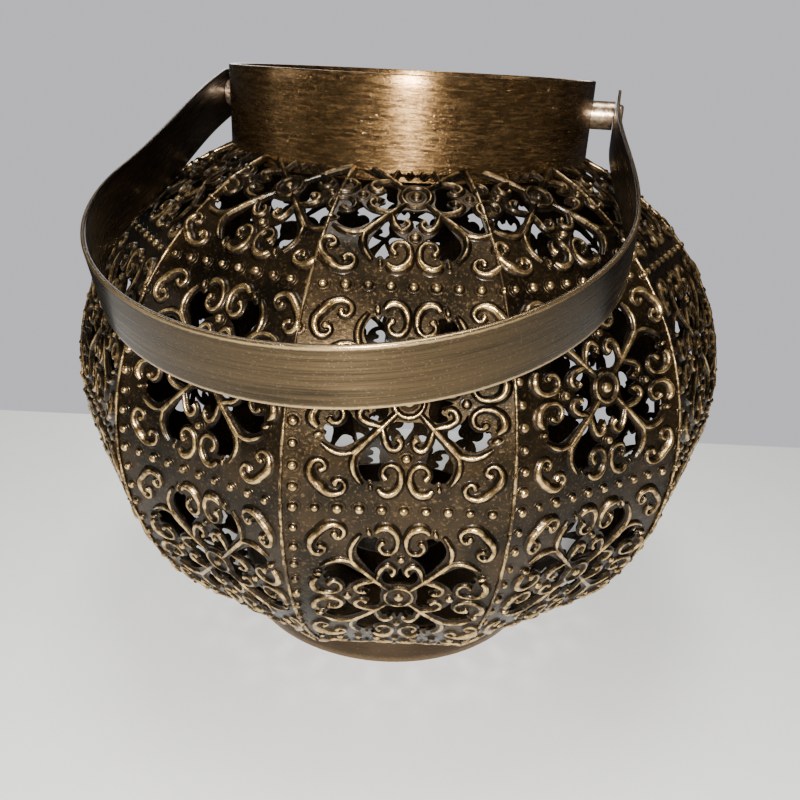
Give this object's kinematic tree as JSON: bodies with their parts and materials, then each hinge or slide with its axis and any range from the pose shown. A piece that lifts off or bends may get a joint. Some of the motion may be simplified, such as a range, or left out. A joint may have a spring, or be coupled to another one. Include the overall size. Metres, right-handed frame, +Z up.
{
  "type": "candle lantern",
  "caption": "Globe-shaped candle lantern of pierced and embossed metal panels, with a plain collar, a ring base, a candle cup inside and a swinging strap bail.",
  "frame": {"origin": "centre of the base ring's lower face, where the lantern stands", "axes": "+Z up along the globe's axis; the bail's pivot axis lies along X; at rest the bail lies forward, towards -Y"},
  "size_m": [0.1874, 0.2108, 0.1612],
  "materials": {
    "antique_sheet": "dark antique bronze, lacquered, rubbed gold on the raised work",
    "rubbed_solder": "solder ridges rubbed to bright gold",
    "polished_copper": "glossy brushed copper-bronze",
    "bronze_ring": "satin brown bronze, lower edge worn to gold",
    "brushed_brass": "satin brushed brown brass, edges rubbed gold",
    "copper_fittings": "bright copper"
  },
  "bodies": {
    "lantern_body": {"panel_01": "antique_sheet", "panel_02": "antique_sheet", "panel_03": "antique_sheet", "panel_04": "antique_sheet", "panel_05": "antique_sheet", "panel_06": "antique_sheet", "panel_07": "antique_sheet", "panel_08": "antique_sheet", "panel_09": "antique_sheet", "panel_10": "antique_sheet", "panel_11": "antique_sheet", "panel_12": "antique_sheet", "seam_solder": "rubbed_solder", "collar": "polished_copper", "base_ring": "bronze_ring", "floor_plate": "antique_sheet", "candle_cup": "antique_sheet", "right_pivot_rivet": "copper_fittings", "left_pivot_rivet": "copper_fittings", "right_spacer_bush": "copper_fittings", "left_spacer_bush": "copper_fittings", "right_backing_washer": "copper_fittings", "left_backing_washer": "copper_fittings"},
    "bail": {"bail_handle": "brushed_brass"}
  },
  "joints": [
    {"name": "bail_swing", "type": "hinge", "parent": "lantern_body", "child": "bail", "pos_m": [0, 0, 0.15309], "axis": [-1, 0, 0], "range_deg": [0, 214]}
  ]
}
